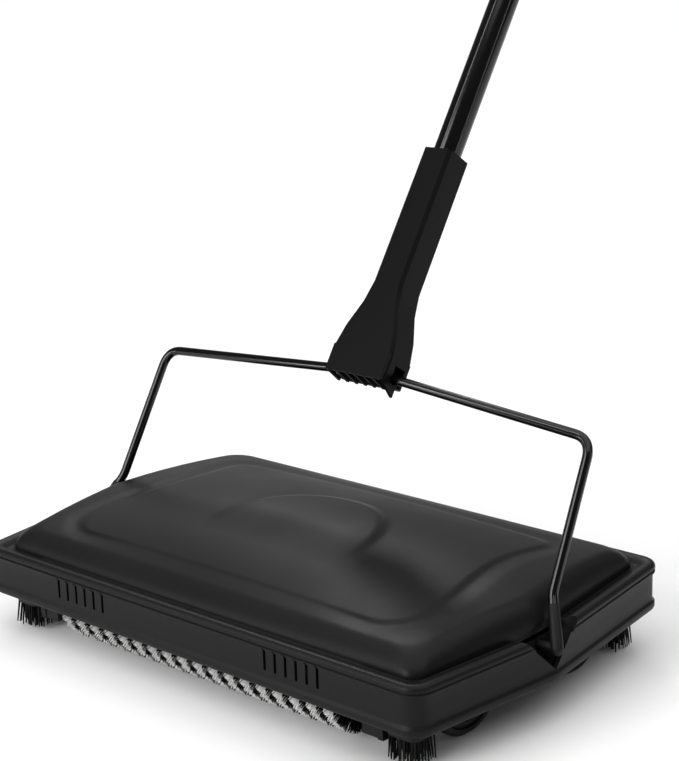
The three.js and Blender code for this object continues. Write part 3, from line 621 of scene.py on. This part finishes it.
def corner_bristles(side, end, name, seed):
    """A stiff tuft that spreads a little towards the floor and out from the corner."""
    rng = random.Random(seed)
    bm = bmesh.new()
    for column in range(9):
        for row in range(8):
            x = -6.6 + 13.2 * column / 8 + rng.uniform(-0.4, 0.4)
            y = -5.8 + 11.6 * row / 7 + rng.uniform(-0.4, 0.4)
            root = Vector((x, y, BRUSH_TOP))
            tip = Vector((x * 1.1 + rng.uniform(-0.7, 0.7), y * 1.1 + rng.uniform(-0.7, 0.7), 0.4))
            tip += Vector((side * 0.3, end * 0.3, rng.uniform(0, 1.8)))
            bristle(bm, root, tip, 0.62, 0)
    place = HEAD @ Matrix.Translation((side * BRUSH_X, end * BRUSH_Y, 0))
    replaced = [f"corner_brush_bristles_{name}"]
    finished(f"corner_bristle_{name}", bm, [DARK_BRISTLE], "head", replaced, place, 80)


def roller(end, name):
    place = HEAD @ Matrix.Translation((0, end * ROLLER_Y, ROLLER_Z))
    body = f"roller_{name}"
    shaft = turned(rounded(tube(0, SHAFT_RADIUS, -SHAFT_END, SHAFT_END), 0.4), 32, "X")
    finished(f"shaft_{name}", shaft, [STEEL], body, [f"roller_shaft_{name}"], place)
    bore = SHAFT_RADIUS + FIT
    reach = ROLLER_HALF_LENGTH + 2
    core = turned(rounded(tube(bore, CORE_RADIUS, -reach, reach), 0.5), 32, "X")
    finished(f"core_{name}", core, [FRAME], body, [f"roller_core_{name}"], place)
    for side, hand in zip(SIDES, ("left", "right")):
        ends = tube(bore, ROLLER_DRUM, side * DRUM_INNER, side * DRUM_OUTER)
        drum = turned(rounded(ends, 0.6), 40, "X")
        finished(f"roller_tyre_{name}_{hand}", drum, [RUBBER], body, [f"roller_drum_{name}_{hand}"], place)


def wheel(side, end, name):
    """A dished plastic hub with a grooved tyre on a steel axle, and its drive drum inside the case."""
    place = HEAD @ Matrix.Translation((0, end * WHEEL_Y, WHEEL_RADIUS))
    body = f"wheel_{name}"
    near, far = WHEEL_INNER, WHEEL_OUTER
    bore = AXLE_RADIUS + FIT
    tread = WHEEL_RADIUS
    rim = tread - 3.4
    hub = [
        (bore, near), (rim, near), (rim, far - 1), (rim - 2.5, far - 1), (rim - 2.5, far - 4.5),
        (6, far - 4.5), (6, far - 1.6), (bore, far - 1.6),
    ]
    tyre = [(rim + FIT, near + 0.4), (tread - 1, near + 0.4), (tread, near + 1.6)]
    for groove in range(3):
        x = near + 4 + 2.9 * groove
        tyre += [(tread, x - 0.5), (tread - 0.6, x - 0.3), (tread - 0.6, x + 0.3), (tread, x + 0.5)]
    tyre += [(tread, far - 1.6), (tread - 1, far - 0.4), (rim + FIT, far - 0.4)]
    start, head = DRUM_INNER - 0.4, far - 1.3
    axle = [(0, start), (AXLE_RADIUS, start), (AXLE_RADIUS, head), (4.2, head), (3.4, far), (0, far)]
    drum = tube(bore, WHEEL_DRUM, DRUM_INNER, DRUM_OUTER)
    shapes = (
        ("hub", hub, FRAME, 0.5), ("tyre", tyre, RUBBER, 0.25), ("axle", axle, STEEL, 0.3),
        ("drum", drum, RUBBER, 0.5),
    )
    for kind, profile, finish, radius in shapes:
        bm = turned(rounded([(r, side * x) for r, x in profile], radius, 2), 64, "X")
        finished(f"{kind}_{name}", bm, [finish], body, [f"wheel_{kind}_{name}"], place)


def corner_holder(side, end, name):
    bm = bmesh.new()
    bmesh.ops.create_cube(bm, size=1)
    bmesh.ops.scale(bm, vec=(16.6, 15.1, 11.7), verts=bm.verts)
    upright = [e for e in bm.edges if abs(e.verts[0].co.z - e.verts[1].co.z) > 1]
    bmesh.ops.bevel(bm, geom=upright, offset=4, segments=6, profile=0.5, affect="EDGES", material=-1)
    bmesh.ops.translate(bm, vec=(0, 0, 18.15), verts=bm.verts)
    peg = turned([(0, 23), (2.5, 23), (2.5, 27.6), (0, 27.6)], 24)
    place = HEAD @ Matrix.Translation((side * BRUSH_X, end * BRUSH_Y, 0))
    whole = joined([bm, peg])
    finished(f"corner_holder_{name}", whole, [FRAME], "head", [f"corner_brush_holder_{name}"], place)


seed = 11
for end, end_name in zip(SIDES, ("front", "rear")):
    roller(end, end_name)
    roller_bristles(end, end_name, seed)
    for side, side_name in zip(SIDES, ("left", "right")):
        seed += 7
        corner = f"{end_name}_{side_name}"
        wheel(side, end, corner)
        corner_holder(side, end, corner)
        corner_bristles(side, end, corner, seed)


# ------------------------------------------------------------------ bail, feet, socket and pole

def bent(points, radii, steps=10):
    """The path through points with each inner corner rounded."""
    path = [points[0]]
    for i in range(1, len(points) - 1):
        here = points[i]
        enter = here + (points[i - 1] - here).normalized() * radii[i]
        leave = here + (points[i + 1] - here).normalized() * radii[i]
        for step in range(steps + 1):
            t = step / steps
            path.append(enter * (1 - t) ** 2 + here * 2 * t * (1 - t) + leave * t * t)
    path.append(points[-1])
    return path


def bail():
    right = [
        FOOT_TOP.lerp(FOOT_TIP, 0.55), FOOT_TOP.lerp(FOOT_TIP, -0.25),
        Vector((BAIL_TOP_X, 0, BAIL_HEIGHT)), Vector((0, 0, BAIL_HEIGHT + BAIL_PEAK)),
    ]
    left = [Vector((-p.x, 0, p.z)) for p in right[-2::-1]]
    path = bent(right + left, [0, 3, 9, 9, 9, 3, 0])
    finished("bail", swept(path, WIRE_RADIUS), [ENAMEL], "handle", ["bail_wire"], BAIL, 50)


def foot(side, name):
    """The plastic foot on an end of the wire, with its pivot pin."""
    top, tip = (Vector((side * p.x, 0, p.z)) for p in (FOOT_TOP, FOOT_TIP))
    along = (tip - top).normalized()
    length = (tip - top).length
    wide = FOOT_RADIUS
    profile = [(0, 0), (2.3, 0), (2.6, 0.8), (2.6, length * 0.4), (wide, length * 0.75), (wide, length)]
    for step in range(1, 9):
        a = math.pi / 2 * step / 8
        profile.append((wide * math.cos(a) if step < 8 else 0, length + wide * math.sin(a)))
    body = turned(profile, 32)
    turn = along.to_track_quat("Z", "Y").to_matrix().to_4x4()
    bmesh.ops.transform(body, matrix=Matrix.Translation(top) @ turn, verts=body.verts)
    pin = swept([tip - Vector((side, 0, 0)), Vector((side * PIN_END, 0, 0))], PIN_RADIUS)
    finished(f"foot_{name}", joined([body, pin]), [FRAME], "handle", [f"bail_foot_{name}"], BAIL, 50)


def socket_ring(width, depth, z, chamfer):
    w, d = width / 2, depth / 2
    points = [
        (w - chamfer, -d), (w, -d + chamfer), (w, d - chamfer), (w - chamfer, d),
        (-w + chamfer, d), (-w, d - chamfer), (-w, -d + chamfer), (-w + chamfer, -d),
    ]
    return [Vector((x, y, z)) for x, y in points]


def socket():
    """The tapered socket: a hollow foot that hooks over the wire with a comb of ribs, and a square neck."""
    broad, neck = SOCKET_WIDTH, SOCKET_NECK
    outer = [
        (broad, -4.6), (broad, 9), (broad - 4.5, 19), (neck + 5, 32), (neck + 0.8, 43), (neck, SOCKET_TOP),
    ]
    inner = [
        (broad - 4, -6), (broad - 4, 9), (broad - 8.5, 19), (neck + 1, 32), (neck - 3.6, 43),
        (neck - 3.6, 54),
    ]
    shell = bmesh.new()
    lofted(shell, [socket_ring(width, SOCKET_DEPTH, z, 1.6) for width, z in outer])
    hollow = bmesh.new()
    lofted(hollow, [socket_ring(width, SOCKET_DEPTH - 3.6, z, 0.6) for width, z in inner])
    bore = turned(tube(0, POLE_RADIUS + 0.4, POLE_START - 2, SOCKET_TOP + 2), 48)
    mouth = prism([(-2.75, -2.75), (5.2, -2.75), (5.2, 4.6), (-2.75, 4.6)], -37, 37)
    entry = prism([(3.4, -12), (5.2, -12), (5.2, 4.6), (3.4, 4.6)], -37, 37)
    slope = BAIL_PEAK / BAIL_TOP_X
    ends = [(Vector((-side, 0, 0)), Vector((side * 24, 0, -24 * slope))) for side in SIDES]
    ways = [swept(pair, WIRE_RADIUS + 0.6) for pair in ends]
    body = cut(shell, [hollow, bore])
    ribs = []
    half = SOCKET_DEPTH / 2 - 0.2
    for i in range(RIB_COUNT):
        x = (i / (RIB_COUNT - 1) - 0.5) * (SOCKET_WIDTH - 2.6)
        tip = RIB_LIP if i == RIB_COUNT - 1 else RIB_TIP
        rib = [(-half, 8.6), (-half, -4.6), (3.4, tip), (3.4, -2), (half, -2), (half, 8.6)]
        ribs.append(prism(rib, x - RIB_HALF, x + RIB_HALF))
    whole = cut(body, [mouth, entry, *ways], ribs)
    obj = finished("socket", whole, [SOCKET], "handle", ["handle_socket"], POLE, 30)
    edges = obj.modifiers.new("edges", "BEVEL")
    edges.width = 0.0005
    edges.segments = 3
    edges.limit_method = "ANGLE"
    edges.angle_limit = math.radians(40)


def pole_piece(name, profile, finish, replaced, radius=0.3):
    finished(name, turned(rounded(profile, radius, 2), 64), [finish], "handle", [replaced], POLE, 40)


def pole():
    for number, name in enumerate(("lower", "middle", "upper")):
        low = POLE_START + number * POLE_PITCH
        top = low + POLE_PITCH
        end = [(POLE_RADIUS, top), (POLE_BORE, top)]
        if name != "upper":
            neck, tip = top - NECK_LENGTH, top + THREAD_LENGTH
            end = [
                (POLE_RADIUS, neck), (THREAD_RADIUS + 0.6, top - 1), (THREAD_RADIUS, top),
                (THREAD_RADIUS, tip), (THREAD_RADIUS - 0.8, tip), (THREAD_RADIUS - 0.8, top - 1),
                (POLE_BORE, neck),
            ]
        pole_piece(f"tube_{name}", [(POLE_BORE, low), (POLE_RADIUS, low), *end], ENAMEL, f"pole_{name}")
    end = POLE_START + 3 * POLE_PITCH
    base = end - GRIP_LENGTH
    bore = POLE_RADIUS + FIT
    grip = [(bore, base), (9.4, base), (10.6, base + 3)]
    for swell in range(GRIP_SWELLS):
        z = base + 12 + swell * SWELL_PITCH
        grip += [(11.4, z), (10.8, z + 10)]
    grip += [(11, end - 3), (9.8, end), (bore, end)]
    pole_piece("grip", grip, GRIP, "hand_grip", radius=2.0)


bail()
foot(-1, "left")
foot(1, "right")
socket()
pole()

# ------------------------------------------------------------------ finishes of the parts kept as they are

for name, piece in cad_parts.items():
    finish = FRAME
    if name.startswith(("cover_screw", "pan_hinge", "pan_spring")):
        finish = STEEL
    elif name == "hang_loop":
        finish = GRIP
    piece.data.materials.clear()
    piece.data.materials.append(finish)

# ------------------------------------------------------------------ stage

def area(name, place, target, size, power):
    light = bpy.data.lights.new(name, "AREA")
    light.shape = "RECTANGLE"
    light.size, light.size_y = size
    light.energy = power
    obj = bpy.data.objects.new(name, light)
    obj.location = place
    obj.rotation_euler = (Vector(target) - Vector(place)).to_track_quat("-Z", "Y").to_euler()
    bpy.context.scene.collection.objects.link(obj)


def sun(name, towards, strength, spread):
    light = bpy.data.lights.new(name, "SUN")
    light.energy = strength
    light.angle = math.radians(spread)
    obj = bpy.data.objects.new(name, light)
    obj.rotation_euler = Vector(towards).to_track_quat("Z", "Y").to_euler()
    bpy.context.scene.collection.objects.link(obj)


def stage():
    bm = bmesh.new()
    bmesh.ops.create_grid(bm, x_segments=1, y_segments=1, size=40)
    mesh = bpy.data.meshes.new("floor")
    bm.to_mesh(mesh)
    bm.free()
    floor = bpy.data.objects.new("floor", mesh)
    floor.location = (0, 0, -0.0004)
    bpy.context.scene.collection.objects.link(floor)
    pale = material("pale_floor", (0.9, 0.9, 0.9), 0.9, grain=0.0, specular=0.1)
    mesh.materials.append(pale)
    world = bpy.data.worlds.new("studio")
    world.use_nodes = True
    world.node_tree.nodes["Background"].inputs["Color"].default_value = (1, 1, 1, 1)
    world.node_tree.nodes["Background"].inputs["Strength"].default_value = 0.14
    bpy.context.scene.world = world
    bpy.context.scene.view_settings.view_transform = "Standard"
    middle = (0, HEAD_Y * MM, 0.08)
    sun("key", (-0.62, 0.63, 0.62), 0.3, 9)
    sun("top", (0.1, 0.05, 1), 2.2, 90)
    sun("front", (-0.25, -1, 0.4), 2.2, 40)
    area("back_panel", (-1.25, 1.15, 0.55), middle, (1.8, 0.9), 1.2)
    area("strip_left", (-0.75, -1.1, 0.75), middle, (0.06, 1.6), 4)
    area("strip_right", (1.35, 0.1, 0.8), middle, (0.04, 1.6), 1.5)


def camera():
    yaw, pitch, roll = math.radians(41.69), math.radians(15.61), math.radians(-1.68)
    back = Vector((math.sin(yaw) * math.cos(pitch), -math.cos(yaw) * math.cos(pitch), math.sin(pitch)))
    side = Vector((math.cos(yaw), math.sin(yaw), 0))
    up = back.cross(side)
    right = side * math.cos(roll) + up * math.sin(roll)
    above = up * math.cos(roll) - side * math.sin(roll)
    data = bpy.data.cameras.new("camera")
    data.lens = 88.97
    data.sensor_width = 36
    obj = bpy.data.objects.new("camera", data)
    turn = Matrix((right, above, back)).transposed().to_4x4()
    obj.matrix_world = Matrix.Translation(Vector((564.9, -613.0 + HEAD_Y, 358.1)) * MM) @ turn
    bpy.context.scene.collection.objects.link(obj)
    bpy.context.scene.camera = obj


stage()
camera()
save_size()
